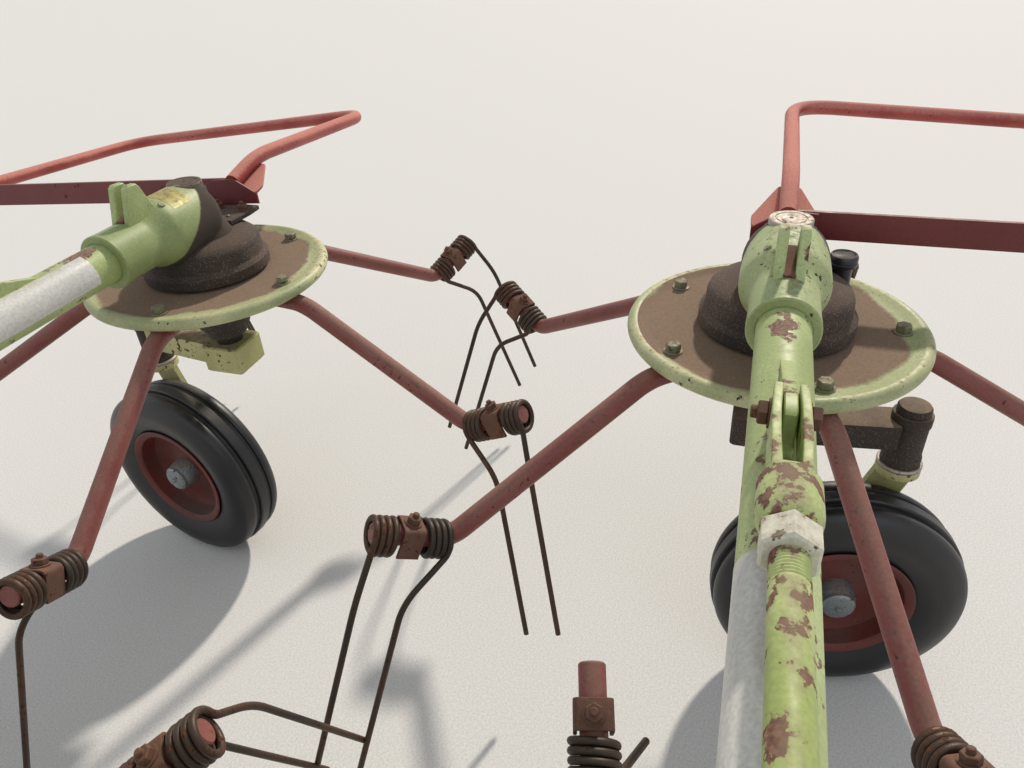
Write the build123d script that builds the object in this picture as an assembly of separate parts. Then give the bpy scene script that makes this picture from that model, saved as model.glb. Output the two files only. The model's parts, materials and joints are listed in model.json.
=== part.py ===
from build123d import *
import os
from math import atan2, cos, degrees, hypot, radians, sin

# Mounted hay tedder with four rotors, parked on its four wheels with both outer arms folded back.
# Millimetres. X points forward, Y to the machine's left, Z up, and the ground is Z = 0.
# The outer rotors stand behind the inner ones, and each arm swings about the axis of its inner rotor.

# Layout of the four rotors
ROTOR_HALF = 504          # rotor axis to the machine's centre plane, while folded
ARM_PITCH = 1155          # inner rotor axis to outer rotor axis
INNER_X = 482             # inner rotor axes ahead of the middle of the machine
RIM_Z = 669               # plane of the dish rims above the ground
TUBE_Z = 782              # axis of the beam and of the arm tubes
RUN = 0.05                # radial clearance of a shaft that turns in its bore
SEAT = 0.2                # clearance of a piece that is pushed into its seat
CLEAR = 6                 # least gap between pieces that pass each other

# Rotor dish, hub and tine arms
DISH_R = 218
ROLL_R = 11               # rolled rim
FLOOR_RISE = 6            # dish floor above the middle of the rolled rim
FLOOR_R = 190
SHEET = 4
DISH_BORE_R = 40
HUB_R = 48
HUB_FLANGE_R = 80
HUB_FLANGE_T = 10
HUB_LENGTH = 100
ARMS = 5                  # tine arms on a rotor
ARM_R = 15.5
ARM_DROP = 29             # arm's axis below the rim plane, out to its first bend
ARM_START_R = 100
SHOE = (84, 190, 46)      # block that bolts an arm under the dish: from radius, to radius, width
ARM_BEND_R = 212          # where the arm starts to slope down
KINK_R = 535              # where it bends up again
KINK_DROP = 210           # that bend below the rim plane
ARM_BEND = 30             # radius of both bends
END_SLOPE = 26            # rise of its end piece, degrees
END_LENGTH = 120          # from the bend to the arm's tip
BOLT_CIRCLE_R = 177       # bolts that hold the arms under the dish
BOLT_R = 11
BOLT_HEIGHT = 9
WASHER = (14, 3)          # radius and thickness

# Sprung tines: two coils on each arm, with a clamp between them
WIRE_R = 4.75
COIL_R = 24.5             # mean radius of a coil
COIL_TURNS = 4
COIL_PITCH = 9            # the turns lie close
COIL_INNER = 30           # centre of the inner coil along the end piece, from the bend
COIL_OUTER = 100
COIL_SAG = 4              # coil centre below the arm's axis
LEG_BEND = (51, 57, -63)  # bend of a leg from its coil: outwards, sideways, up
LEG_BEND_R = 60
LEG_TIP = (122, 119, -355)
STUB_TIP = (56, 63, -69)  # end of the leg that has broken off
CLAMP = (33, 44, 50)      # along the arm, across it, height

# Centre column, clamp block and lever down to the caster
COLUMN_R = 25
COLUMN_FOOT_Z = 458
COLLAR_R = 38
COLLAR_LENGTH = 19
BLOCK = (84, 84, 56)
BLOCK_Z = 496             # middle of the clamp block
KINGPIN_U = 28            # kingpin from the rotor axis, along the arm and outwards
KINGPIN_V = 225
SLEEVE_R = 30
SLEEVE_Z = (430, 530)
KINGPIN_R = 16
LEVER = (58, 44, 6)       # width, height, wall

# Caster fork and wheel
TRAIL = 77                # wheel axle behind the kingpin
WHEEL_SIDE = 63           # wheel beside the kingpin
TYRE_R = 205
TYRE_HALF = 56
TREAD = (11, 22, 9)       # half width of the middle rib, outer edge of the grooves, their depth
BEAD_R = 112
BEAD_HALF = 40
HUBCAP_R = 28
WHEEL_HUB_R = 32
AXLE_R = 12.5
FORK = (62, 11)           # width and thickness of the fork's leg
FOOT_R = 34

# Rotor gearboxes
FLOOR_Z = RIM_Z + FLOOR_RISE
DOME_Z = FLOOR_Z + CLEAR  # foot of each dome
OUTER_DOME = ((112, 19), (105, 31), (103, 47), (92, 60), (66, 65))   # radius, height above its foot
INNER_DOME = ((112, 11), (104, 19), (74, 25))
BELL = ((65, 741), (64, 776), (58, 800), (46, 818), (33, 828))       # casting: radius, height
CAP_R = 30
CAP_Z = (828, 841)
BARREL_R = 59             # horizontal barrel of the casting, about the arm's axis
BARREL_U = -100
MOUTH_R = 43.5
MOUTH_U = (-218, -132)    # socket of the arm tube, from the rotor axis
FILLER = (14, 18, 62, 84) # filler neck radius, its cap, and where it stands: along and beside the arm
FILLER_Z = (752, 768)     # neck and cap tops
TUBE_R = 32
TUBE_WALL = 5
SOCKET = 60               # depth of the tube in its socket
EAR = ((-166, 815), (-147, 872), (-141, 880), (-127, 880), (-119, 874), (-100, 830), (-100, 815))   # outline
EAR_THICK = 12
EAR_V = 12.5

# Hinge between an inner gearbox and its folding arm
NECK_R = 52
NECK_Z = (DOME_Z + INNER_DOME[-1][1], 854)
EYE_R = 78
EYE_Z = ((716, 728), (836, 848))
WEB_U = (60, 84)
WEB_WIDTH = 110
CHEEK = (12, 78, 45)      # thickness, height, half gap of the float pin's cheeks
FLOAT_U = 172             # float pin from the fold axis
FLOAT_R = 14
ARM_HEAD = (70, 76)       # length and height of the arm's end block

# Limiter rod over each arm
LIMIT_U = ARM_PITCH - 475
LIMIT_Z = 838
LIMIT_EAR_Z = 872
ROD_R = 14
RIB = (30, 145, 12)       # rib on the tube: behind and ahead of the clevis pin, thickness
RIB_ROUND = 14
PIN_R = 8
CLEVIS = (120, 40, 8)     # length, height, thickness of a cheek
CLEVIS_PLATE = 10
COLLET = (23, 50)         # round collar behind the clevis: radius, length
LOCK_NUT = (21, 26)       # across its corners / 2, length

# Guard loops
GUARD_R = 14
GUARD_Z = 830
GUARD_START_U = 128
GUARD_FAR_U = 690
GUARD_OUT_V = 770
GUARD_FALL = 45           # how far the outer corner lies lower
GUARD_BEND = 90
BAR = (44, 8)             # height and thickness of the flat bar
BAR_Z = 784
BRACKET = (80, 10)        # width and thickness of the plate that carries a guard
GUARD_SAG = {"left": 0, "right": 6}   # the right-hand guard is bent down, degrees
FRONT_GUARD_X = (380, 800)   # back and front run, ahead of the inner rotor axes
FRONT_GUARD_Y = 960

# Cross beam, centre gearbox and headstock
BEAM_R = 38
BOX = (190, 170, 160)     # centre gearbox
PTO_R = 17.4              # inch and three eighths shaft
PTO_LENGTH = 76
PTO_NOSE = 46
HITCH_X = INNER_X + 905   # 905 from the inner rotors to the lower pins
HITCH_HALF = 412.5        # shoulder of each lower pin from the centre plane
HITCH_Z = 550
HITCH_PIN_R = 14
HITCH_PIN_LENGTH = 92
HITCH_SHANK = (16, 36)    # radius and length of each pin's shank, inside its shoulder
HITCH_PLATE = (90, 16, 130)
MAST = 610                # top link holes above the lower pins
MAST_BACK = 10            # top link holes behind the lower pins
TOP_HOLE_R = 12.9
TOP_GAP = 52
TOP_CHEEK = (60, 12, 130) # length, thickness, height
TOP_CHEEK_LOW = 90        # the cheek's foot below its hole
STRUT = (60, 40)          # height and width of the struts and mast legs
STRUT_Y = 150

FOOT = (Align.CENTER, Align.CENTER, Align.MIN)
SIDES = {"left": 1, "right": -1}


def upright(radius, low, high, x=0, y=0, bore=0):
    """a vertical cylinder between two heights, with a bore if it has one"""
    solid = Pos(x, y, low) * Cylinder(radius, high - low, align=FOOT)
    if bore:
        solid -= Pos(x, y, low) * Cylinder(bore, high - low, align=FOOT)
    return solid


def rod(start, end, radius, bore=0):
    """a round bar or tube between two points"""
    axis = Vector(*end) - Vector(*start)
    place = Plane(origin=start, z_dir=axis)
    solid = place * Cylinder(radius, axis.length, align=FOOT)
    if bore:
        solid -= place * Cylinder(bore, axis.length, align=FOOT)
    return solid


def beam(start, end, height, width):
    """a square-cut bar between two points, its height in the vertical plane"""
    axis = Vector(*end) - Vector(*start)
    side = Vector(0, 0, 1).cross(axis)
    place = Plane(origin=start, x_dir=side, z_dir=axis)
    return place * Box(width, height, axis.length, align=FOOT)


def bent(points, radius, bend):
    """a round bar along straight runs with rounded bends"""
    path = FilletPolyline(*points, radius=bend)
    section = Plane(origin=path @ 0, z_dir=path % 0) * Circle(radius)
    return sweep(section, path=path)


def turned(*points):
    """a solid of revolution about Z from an outline of radius and height"""
    return revolve(Plane.XZ * Polygon(*points, align=None), Axis.Z)


def ring(make, count, phase=0):
    """copies of one solid, evenly spaced about Z"""
    return [Rot(0, 0, phase + 360 / count * step) * make for step in range(count)]


def placed(shape, side, x, y, turn):
    """a piece of the right-hand half set in its place, or its mirror image on the left"""
    there = Pos(x, -y, 0) * Rot(0, 0, turn) * shape
    if side == "left":
        there = mirror(there, about=Plane.XZ)
    return there


def save(name, *solids):
    """one node, its solids side by side"""
    export_step(Compound(children=list(solids)) if len(solids) > 1 else solids[0],
                f"parts/{name}.step")


# Rotors, modelled about their own axis with the first arm along X

def dish():
    floor = FLOOR_Z
    rim = DISH_R - ROLL_R
    sheet = Polygon((DISH_BORE_R, floor), (FLOOR_R, floor), (rim, RIM_Z + ROLL_R), (rim, RIM_Z),
                    (FLOOR_R + SHEET, floor - SHEET), (DISH_BORE_R, floor - SHEET), align=None)
    solid = revolve(Plane.XZ * (sheet + Pos(rim, RIM_Z) * Circle(ROLL_R)), Axis.Z)
    washer, thick = WASHER
    bolt = upright(washer, floor - SHEET / 2, floor + thick, x=BOLT_CIRCLE_R)
    bolt += Pos(BOLT_CIRCLE_R, 0, floor + thick) * extrude(RegularPolygon(BOLT_R, 6), BOLT_HEIGHT)
    for head in ring(bolt, ARMS):
        solid += head
    return solid


def hub():
    top = FLOOR_Z - SHEET
    under = top - HUB_FLANGE_T
    bore = COLUMN_R + RUN
    return turned((bore, top), (HUB_FLANGE_R, top), (HUB_FLANGE_R, under), (HUB_R + 8, under),
                  (HUB_R, under - 8), (HUB_R, under - HUB_LENGTH), (bore, under - HUB_LENGTH))


def arm_line():
    """the arm's axis as radius and height: root, bend, kink and tip"""
    level = RIM_Z - ARM_DROP
    return (ARM_START_R, level), (ARM_BEND_R, level), end_point(0), end_point(END_LENGTH)


def tine_arm():
    solid = bent([(r, 0, z) for r, z in arm_line()], ARM_R, ARM_BEND)
    start, stop, width = SHOE
    low = RIM_Z - ARM_DROP
    top = FLOOR_Z - SHEET
    return solid + Pos((start + stop) / 2, 0, low) * Box(stop - start, width, top - low, align=FOOT)


def end_point(along, below=0):
    """radius and height of a point on the axis of the arm's end piece, or square below it"""
    slope = radians(END_SLOPE)
    return (KINK_R + along * cos(slope) + below * sin(slope),
            RIM_Z - KINK_DROP + along * sin(slope) - below * cos(slope))


def end_plane(along, below=0):
    """a plane square to the end piece there: X sideways, Y up from the arm, Z out along it"""
    x, z = end_point(along, below)
    out = end_point(along + 1, below)
    return Plane(origin=(x, 0, z), x_dir=(0, 1, 0), z_dir=(out[0] - x, 0, out[1] - z))


def clamp():
    length, width, height = CLAMP
    middle = (COIL_INNER + COIL_OUTER) / 2
    block = end_plane(middle) * Pos(0, ARM_R - height / 2 + 7, 0) * Box(width, height, length)
    bolt = end_plane(middle) * Pos(0, ARM_R + 7, 0) * Rot(-90, 0, 0)
    block += bolt * extrude(RegularPolygon(BOLT_R, 6), BOLT_HEIGHT)
    return block - end_plane(middle) * Cylinder(ARM_R, length + 2)


def tine_leg(along, lean, leg=(LEG_BEND, LEG_TIP)):
    """one coil with its leg; lean is the side to which the leg leaves"""
    turns = [Pos(COIL_R, COIL_PITCH * (turn - (COIL_TURNS - 1) / 2)) * Circle(WIRE_R) for turn in range(COIL_TURNS)]
    coil = end_plane(along, COIL_SAG) * revolve(Plane.XZ * (turns[0] + turns[1:]), Axis.Z)
    x, z = end_point(along, COIL_SAG)
    points = [(x, lean * COIL_R, z)]
    points += [(x + out, lean * side, z + up) for out, side, up in leg]
    if len(leg) == 1:
        return coil + rod(*points, WIRE_R)
    return coil + bent(points, WIRE_R, LEG_BEND_R)


def tines(lean, phase, whole):
    """both tines of every arm; on an arm marked 0 the outer one has gone and the inner one is a stub"""
    solids = []
    for step, mark in enumerate(whole):
        turn = Rot(0, 0, phase + 360 / ARMS * step)
        if mark == "1":
            solids.append(turn * tine_leg(COIL_INNER, lean))
            solids.append(turn * tine_leg(COIL_OUTER, lean))
        else:
            solids.append(turn * tine_leg(COIL_INNER, lean, leg=(STUB_TIP,)))
    return solids


# Axle column with its lever, and the caster, in the right-hand frame:
# X along the arm away from its hinge, Y to the side that faces forward at work

def axle():
    solid = upright(COLUMN_R, COLUMN_FOOT_Z, DOME_Z)
    solid += Pos(0, 0, BLOCK_Z) * Box(*BLOCK)
    reach = hypot(KINGPIN_U, KINGPIN_V)
    width, height, wall = LEVER
    lever = Pos(0, 0, BLOCK_Z) * Box(reach, width, height, align=(Align.MIN, Align.CENTER, Align.CENTER))
    lever -= Pos(BLOCK[0] / 2, 0, BLOCK_Z - wall) * Box(
        reach, width - 2 * wall, height, align=(Align.MIN, Align.CENTER, Align.CENTER))
    solid += Rot(0, 0, degrees(atan2(KINGPIN_V, KINGPIN_U))) * lever
    sleeve = upright(SLEEVE_R, *SLEEVE_Z, x=KINGPIN_U, y=KINGPIN_V)
    solid += sleeve
    solid -= upright(KINGPIN_R + RUN, SLEEVE_Z[0] - 9, SLEEVE_Z[1] + 9, x=KINGPIN_U, y=KINGPIN_V)
    return solid


def fork():
    """the swivelling fork about its kingpin, with the wheel straight behind"""
    low, high = SLEEVE_Z
    width, thick = FORK
    inside = -WHEEL_SIDE + TYRE_HALF + CLEAR
    foot = low - 14
    solid = upright(KINGPIN_R, foot, high + 12)
    solid += upright(KINGPIN_R + 8, high + 0.3, high + 12)
    solid += upright(FOOT_R, foot, low - 0.3)
    drop = hypot(TRAIL, foot - TYRE_R)
    leg = Pos(inside, 0, foot) * Rot(-degrees(atan2(TRAIL, foot - TYRE_R)), 0, 0) * Box(
        thick, width, drop, align=(Align.MIN, Align.CENTER, Align.MAX))
    solid += leg
    solid += Pos(inside, 0, foot) * Box(thick, 2 * FOOT_R, 20, align=(Align.MIN, Align.CENTER, Align.MAX))
    centre = (-WHEEL_SIDE, -TRAIL, TYRE_R)
    solid += rod((inside + thick, *centre[1:]), (centre[0] - BEAD_HALF - 8, *centre[1:]), AXLE_R)
    solid += rod((inside, *centre[1:]), (inside + thick + 8, *centre[1:]), width / 2)
    return solid


def about_wheel(solid):
    """a wheel piece modelled about Z, laid on its axle behind the kingpin, outside towards minus X"""
    return Pos(-WHEEL_SIDE, -TRAIL, TYRE_R) * Rot(0, -90, 0) * solid


def tyre():
    half, bead = TYRE_HALF, BEAD_HALF
    outline = [(BEAD_R, -bead), (BEAD_R + 14, -bead - 6), (BEAD_R + 45, -half), (TYRE_R - 26, -half + 3),
               (TYRE_R - 6, -half + 15), (TYRE_R - 3, -half + 28)]
    rib, groove, depth = TREAD
    outline += [(TYRE_R - depth, -groove), (TYRE_R - depth, -rib - 3), (TYRE_R, -rib)]
    outline += [(r, -z) for r, z in reversed(outline)]
    return about_wheel(turned(*outline))


def rim():
    seat = BEAD_R - SEAT
    inner = seat - 5
    web = 3
    outline = [(AXLE_R + RUN, -BEAD_HALF), (WHEEL_HUB_R, -BEAD_HALF), (WHEEL_HUB_R, -web),
               (inner - 16, -web), (inner, -16), (inner, -BEAD_HALF), (inner + 4, -BEAD_HALF - 4),
               (seat, -BEAD_HALF), (seat, BEAD_HALF), (inner + 4, BEAD_HALF + 4),
               (inner, BEAD_HALF), (inner, -9), (inner - 14, web + 1), (WHEEL_HUB_R, web + 1),
               (WHEEL_HUB_R, BEAD_HALF + 6), (HUBCAP_R, BEAD_HALF + 14), (0, BEAD_HALF + 14),
               (0, BEAD_HALF + 9), (AXLE_R + RUN, BEAD_HALF + 9)]
    return about_wheel(turned(*outline))


# Gearboxes

def dome(profile):
    """the solid cover over a dish from its outline of radius and height above the foot"""
    outline = [(radius, DOME_Z + height) for radius, height in profile]
    return turned((0, DOME_Z), (profile[0][0], DOME_Z), *outline, (0, outline[-1][1]))


def outer_gearbox():
    """the angle casting on its dome, its socket along minus X"""
    low, high = CAP_Z
    solid = dome(OUTER_DOME) + turned((0, BELL[0][1]), *BELL, (0, BELL[-1][1]))
    solid += upright(CAP_R, low, high)
    start, end = MOUTH_U
    solid += rod((start, 0, TUBE_Z), (BARREL_U, 0, TUBE_Z), MOUTH_R)
    flare = Cone(MOUTH_R, BARREL_R, BARREL_U - end, align=FOOT)
    solid += Plane(origin=(end, 0, TUBE_Z), z_dir=(1, 0, 0)) * flare
    solid += rod((BARREL_U, 0, TUBE_Z), (0, 0, TUBE_Z), BARREL_R)
    solid -= rod((start - 1, 0, TUBE_Z), (start + SOCKET, 0, TUBE_Z), TUBE_R + SEAT)
    ear = extrude(Plane.XZ * Polygon(*EAR, align=None), EAR_THICK / 2, both=True)
    for side in (1, -1):
        solid += Pos(0, side * EAR_V, 0) * ear
    neck, cap, u, v = FILLER
    neck_top, cap_top = FILLER_Z
    solid += upright(neck, DOME_Z + 20, neck_top, x=u, y=v)
    solid += upright(cap, neck_top, cap_top, x=u, y=v)
    return solid


def inner_gearbox():
    """the fixed box on an inner rotor, with the neck about which its arm folds; beam socket along minus X"""
    solid = dome(INNER_DOME)
    solid += upright(NECK_R, *NECK_Z) + upright(CAP_R, NECK_Z[1], NECK_Z[1] + 10)
    solid += rod((-NECK_R - 70, 0, TUBE_Z), (0, 0, TUBE_Z), MOUTH_R + 2)
    solid -= rod((-NECK_R - 71, 0, TUBE_Z), (-NECK_R - 10, 0, TUBE_Z), BEAM_R + SEAT)
    return solid


# The folding arm, in the right-hand frame with X from the fold axis towards the outer rotor

def fold_head():
    solid = Pos((WEB_U[0] + WEB_U[1]) / 2, 0, (EYE_Z[0][0] + EYE_Z[1][1]) / 2) * Box(
        WEB_U[1] - WEB_U[0], WEB_WIDTH, EYE_Z[1][1] - EYE_Z[0][0])
    for low, high in EYE_Z:
        solid += upright(EYE_R, low, high)
        solid += Pos(0, 0, (low + high) / 2) * Box(
            WEB_U[0] + 2, WEB_WIDTH, high - low, align=(Align.MIN, Align.CENTER, Align.CENTER))
        solid -= upright(NECK_R + RUN, low - 1, high + 1)
    thick, height, gap = CHEEK
    for side in (1, -1):
        solid += Pos(WEB_U[1] - 2, side * (gap + thick / 2), TUBE_Z) * Box(
            FLOAT_U + 30 - WEB_U[1], thick, height, align=(Align.MIN, Align.CENTER, Align.CENTER))
    solid += rod((FLOAT_U, -gap - thick - 8, TUBE_Z), (FLOAT_U, gap + thick + 8, TUBE_Z), FLOAT_R)
    for side in (1, -1):
        solid += Pos(WEB_U[0], side * (ROD_R + 6), EYE_Z[1][1] - 2) * Box(
            WEB_U[1] - WEB_U[0], 10, LIMIT_EAR_Z - EYE_Z[1][1] + 20, align=(Align.MIN, Align.CENTER, Align.MIN))
    solid += rod((sum(WEB_U) / 2, -ROD_R - 16, LIMIT_EAR_Z), (sum(WEB_U) / 2, ROD_R + 16, LIMIT_EAR_Z), 8)
    return solid


def arm_tube():
    length, height = ARM_HEAD
    start = FLOAT_U - length / 2
    head = Pos(start, 0, TUBE_Z) * Box(length + 20, 2 * CHEEK[2] - 1, height,
                                       align=(Align.MIN, Align.CENTER, Align.CENTER))
    head -= rod((FLOAT_U, -60, TUBE_Z), (FLOAT_U, 60, TUBE_Z), FLOAT_R + SEAT)
    tube = rod((start + length, 0, TUBE_Z), (ARM_PITCH + MOUTH_U[0] + SOCKET, 0, TUBE_Z), TUBE_R)
    tube -= rod((start + length + 30, 0, TUBE_Z), (ARM_PITCH, 0, TUBE_Z), TUBE_R - TUBE_WALL)
    back, ahead, thick = RIB
    foot = TUBE_Z + TUBE_R - 3
    top = LIMIT_Z + RIB_ROUND
    outline = Polygon((LIMIT_U - back, foot), (LIMIT_U - RIB_ROUND, top), (LIMIT_U + RIB_ROUND, top),
                      (LIMIT_U + ahead, foot), align=None)
    rib = extrude(Plane.XZ * outline, thick / 2, both=True)
    rib -= rod((LIMIT_U, -thick, LIMIT_Z), (LIMIT_U, thick, LIMIT_Z), PIN_R + SEAT)
    return head + tube + rib


def limiter():
    """rod from the fold head to the windowed clevis on the tube's rib"""
    start = (sum(WEB_U) / 2, 0, LIMIT_EAR_Z)
    end = (LIMIT_U, 0, LIMIT_Z)
    run = hypot(end[0] - start[0], end[2] - start[2])
    length, height, cheek = CLEVIS
    dx = (end[0] - start[0]) / run
    dz = (end[2] - start[2]) / run

    def at(along, side=0):
        return (start[0] + dx * along, side, start[2] + dz * along)

    tip = 24
    neck = run + tip - length
    collet, long = COLLET
    nut, nut_long = LOCK_NUT
    back = neck - CLEVIS_PLATE - long
    gap = RIB[2] / 2 + 1
    solid = rod(at(0), at(neck), ROD_R) - rod((start[0], -30, start[2]), (start[0], 30, start[2]), PIN_R + SEAT)
    solid += rod(at(back), at(neck), collet)
    solid += Plane(origin=at(back - nut_long - 2), z_dir=(dx, 0, dz)) * extrude(RegularPolygon(nut, 6), nut_long)
    for side in (1, -1):
        middle = side * (gap + cheek / 2)
        solid += beam(at(neck - 1, middle), at(run + tip, middle), height, cheek)
        head = Plane(origin=(end[0], side * (gap + cheek), end[2]), z_dir=(0, side, 0))
        solid += head * extrude(RegularPolygon(BOLT_R + 1, 6), BOLT_HEIGHT)
    solid += beam(at(neck - CLEVIS_PLATE), at(neck), height, 2 * (gap + cheek))
    return solid + rod((end[0], -gap - cheek, end[2]), (end[0], gap + cheek, end[2]), PIN_R)


def guard(sag):
    """red loop over the outer, forward quarter of an outer rotor, about that rotor's axis"""
    low = GUARD_Z - GUARD_FALL
    points = [(GUARD_START_U, 0, GUARD_Z), (GUARD_FAR_U, 0, GUARD_Z), (GUARD_FAR_U + 30, GUARD_OUT_V, low),
              (GUARD_START_U, GUARD_OUT_V, low)]
    solid = bent(points, GUARD_R, GUARD_BEND)
    height, thick = BAR
    bar = beam((GUARD_START_U, -30, BAR_Z), (GUARD_START_U, GUARD_OUT_V + GUARD_R, low), height, thick)
    seat = BELL[0][0] + SEAT
    foot = DOME_Z + OUTER_DOME[-1][1] + SEAT
    width, sheet = BRACKET
    plate = Pos(seat - 10, 0, foot) * Box(
        GUARD_START_U + thick / 2 - seat + 10, width, sheet, align=(Align.MIN, Align.CENTER, Align.MIN))
    plate -= upright(seat, foot - 1, foot + sheet + 1)
    plate += Pos(GUARD_START_U, 0, foot) * Box(thick, width, GUARD_Z - foot, align=FOOT)
    axis = Axis((GUARD_START_U, 0, GUARD_Z - 24), (1, -1, 0))
    return (solid + bar).rotate(axis, -sag) + plate


# Fixed frame at the centre

def cross_beam():
    inside = BOX[1] / 2
    return [rod((INNER_X, side * (ROTOR_HALF - NECK_R - 12), TUBE_Z), (INNER_X, side * inside, TUBE_Z),
                BEAM_R, BEAM_R - TUBE_WALL) for side in SIDES.values()]


def centre_gearbox():
    length, width, height = BOX
    solid = Pos(INNER_X, 0, TUBE_Z) * Box(length, width, height)
    solid = fillet(solid.edges().filter_by(Axis.Z), 24)
    nose = INNER_X + length / 2
    solid += rod((nose - 4, 0, TUBE_Z), (nose + PTO_NOSE, 0, TUBE_Z), 44)
    solid -= rod((nose - 30, 0, TUBE_Z), (nose + PTO_NOSE + 1, 0, TUBE_Z), PTO_R + RUN)
    return solid


def input_shaft():
    nose = INNER_X + BOX[0] / 2
    solid = rod((nose - 30, 0, TUBE_Z), (nose + PTO_NOSE + PTO_LENGTH, 0, TUBE_Z), PTO_R)
    return solid


def headstock():
    """mast, struts back to the cross beam, and plates for the lower pins"""
    tall, wide = STRUT
    top = HITCH_Z + MAST
    top_x = HITCH_X - MAST_BACK
    knee = TUBE_Z + BEAM_R + tall / 2 + 2
    plate, thick, plate_height = HITCH_PLATE
    cheek, cheek_thick, cheek_height = TOP_CHEEK
    foot = top - TOP_CHEEK_LOW
    solids = []
    for side in SIDES.values():
        solids.append(beam((HITCH_X, side * (HITCH_HALF - 22), HITCH_Z - 30),
                           (top_x, side * (TOP_GAP / 2 + cheek_thick), foot + 30), wide, 30))
        solids.append(Pos(top_x, side * (TOP_GAP + cheek_thick) / 2, foot) * Box(
            cheek, cheek_thick, cheek_height, align=FOOT))
        solids.append(beam((INNER_X - 30, side * STRUT_Y, knee), (HITCH_X, side * STRUT_Y, knee), tall, wide))
        solids.append(Pos(INNER_X, side * STRUT_Y, TUBE_Z + BEAM_R * 0.7) * Box(60, wide, 34))
        solids.append(Pos(HITCH_X, side * (HITCH_HALF - thick / 2), HITCH_Z) * Box(plate, thick, plate_height))
    solids.append(Pos(top_x, 0, foot) * Box(30, TOP_GAP + cheek_thick, 30, align=FOOT))
    solids.append(beam((HITCH_X, -HITCH_HALF + 60, HITCH_Z + 20), (HITCH_X, HITCH_HALF - 60, HITCH_Z + 20), wide, 40))
    solids.append(beam((HITCH_X - 6, -STRUT_Y - 60, knee), (HITCH_X - 6, STRUT_Y + 60, knee), tall, wide))
    solid = solids[0] + solids[1:]
    shank, length = HITCH_SHANK
    for side in SIDES.values():
        solid -= rod((INNER_X, side * (STRUT_Y - wide), TUBE_Z), (INNER_X, side * (STRUT_Y + wide), TUBE_Z), BEAM_R + SEAT)
        solid -= rod((HITCH_X, side * (HITCH_HALF - length - 4), HITCH_Z),
                     (HITCH_X, side * (HITCH_HALF + 4), HITCH_Z), shank + SEAT)
    return solid - rod((top_x, -TOP_GAP, top), (top_x, TOP_GAP, top), TOP_HOLE_R)


def front_guards():
    """a loop over each inner rotor, from the strut outwards and back"""
    back, front = (INNER_X + x for x in FRONT_GUARD_X)
    level = TUBE_Z + BEAM_R + STRUT[0] / 2 + 2
    root = STRUT_Y + STRUT[1] / 2 + SEAT
    return [bent([(front, side * root, level), (front, side * FRONT_GUARD_Y, level),
                  (back, side * FRONT_GUARD_Y, level), (back, side * root, level)],
                 GUARD_R, GUARD_BEND) for side in SIDES.values()]


def hitch_pins():
    shank, length = HITCH_SHANK
    pins = []
    for side in SIDES.values():
        shoulder = (HITCH_X, side * HITCH_HALF, HITCH_Z)
        pins.append(rod((HITCH_X, side * (HITCH_HALF - length), HITCH_Z), shoulder, shank)
                    + rod(shoulder, (HITCH_X, side * (HITCH_HALF + HITCH_PIN_LENGTH), HITCH_Z), HITCH_PIN_R))
    return pins


os.makedirs("parts", exist_ok=True)

# Rotor: name, side, X of its axis, arm phase from X, lean of the tines, arms whole (1) or broken (0)
# Phases are read from the photograph; neighbours turn opposite ways, so their tines lean opposite ways
OUTER_X = INNER_X - ARM_PITCH
ROTORS = (
    ("inner_left", 1, INNER_X, 50.5, -1, "11011"),
    ("inner_right", -1, INNER_X, 60.5, 1, "11111"),
    ("outer_left", 1, OUTER_X, 21.7, 1, "11111"),
    ("outer_right", -1, OUTER_X, 9.6, -1, "11111"),
)
for name, side, x, phase, lean, whole in ROTORS:
    spot = Pos(x, side * ROTOR_HALF, 0)
    save(f"dish_{name}", spot * Rot(0, 0, phase) * dish())
    save(f"hub_{name}", spot * hub())
    arm = tine_arm() + clamp()
    save(f"arms_{name}", *[spot * copy for copy in ring(arm, ARMS, phase)])
    save(f"tines_{name}", *[spot * copy for copy in tines(lean, phase, whole)])

# Axle: name, X of its rotor, turn of the right-hand frame, rest swivel of the caster
AXLES = (("inner", INNER_X, -90, 0), ("outer", OUTER_X, 180, -9.4))
for name, x, turn, swivel in AXLES:
    for side in SIDES:
        save(f"axle_{name}_{side}", placed(axle(), side, x, ROTOR_HALF, turn))
        kingpin = Pos(KINGPIN_U, KINGPIN_V, 0) * Rot(0, 0, swivel)
        for piece, make in (("fork", fork), ("tyre", tyre), ("rim", rim)):
            save(f"{piece}_{name}_{side}", placed(kingpin * make(), side, x, ROTOR_HALF, turn))

collar_top = FLOOR_Z - SHEET - HUB_FLANGE_T - HUB_LENGTH - 0.3
for side in SIDES:
    save(f"collar_{side}", placed(upright(COLLAR_R, collar_top - COLLAR_LENGTH, collar_top, bore=COLUMN_R + RUN),
                                  side, OUTER_X, ROTOR_HALF, 180))
    save(f"gearbox_outer_{side}", placed(outer_gearbox(), side, OUTER_X, ROTOR_HALF, 180))
    save(f"guard_outer_{side}", placed(guard(GUARD_SAG[side]), side, OUTER_X, ROTOR_HALF, 180))
    save(f"fold_head_{side}", placed(fold_head(), side, INNER_X, ROTOR_HALF, 180))
    save(f"arm_tube_{side}", placed(arm_tube(), side, INNER_X, ROTOR_HALF, 180))
    save(f"limiter_{side}", placed(limiter(), side, INNER_X, ROTOR_HALF, 180))
    save(f"gearbox_inner_{side}", placed(inner_gearbox(), side, INNER_X, ROTOR_HALF, -90))

save("cross_beam", *cross_beam())
save("centre_gearbox", centre_gearbox())
save("input_shaft", input_shaft())
save("headstock", headstock())
save("front_guards", *front_guards())
save("hitch_pins", *hitch_pins())
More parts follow.
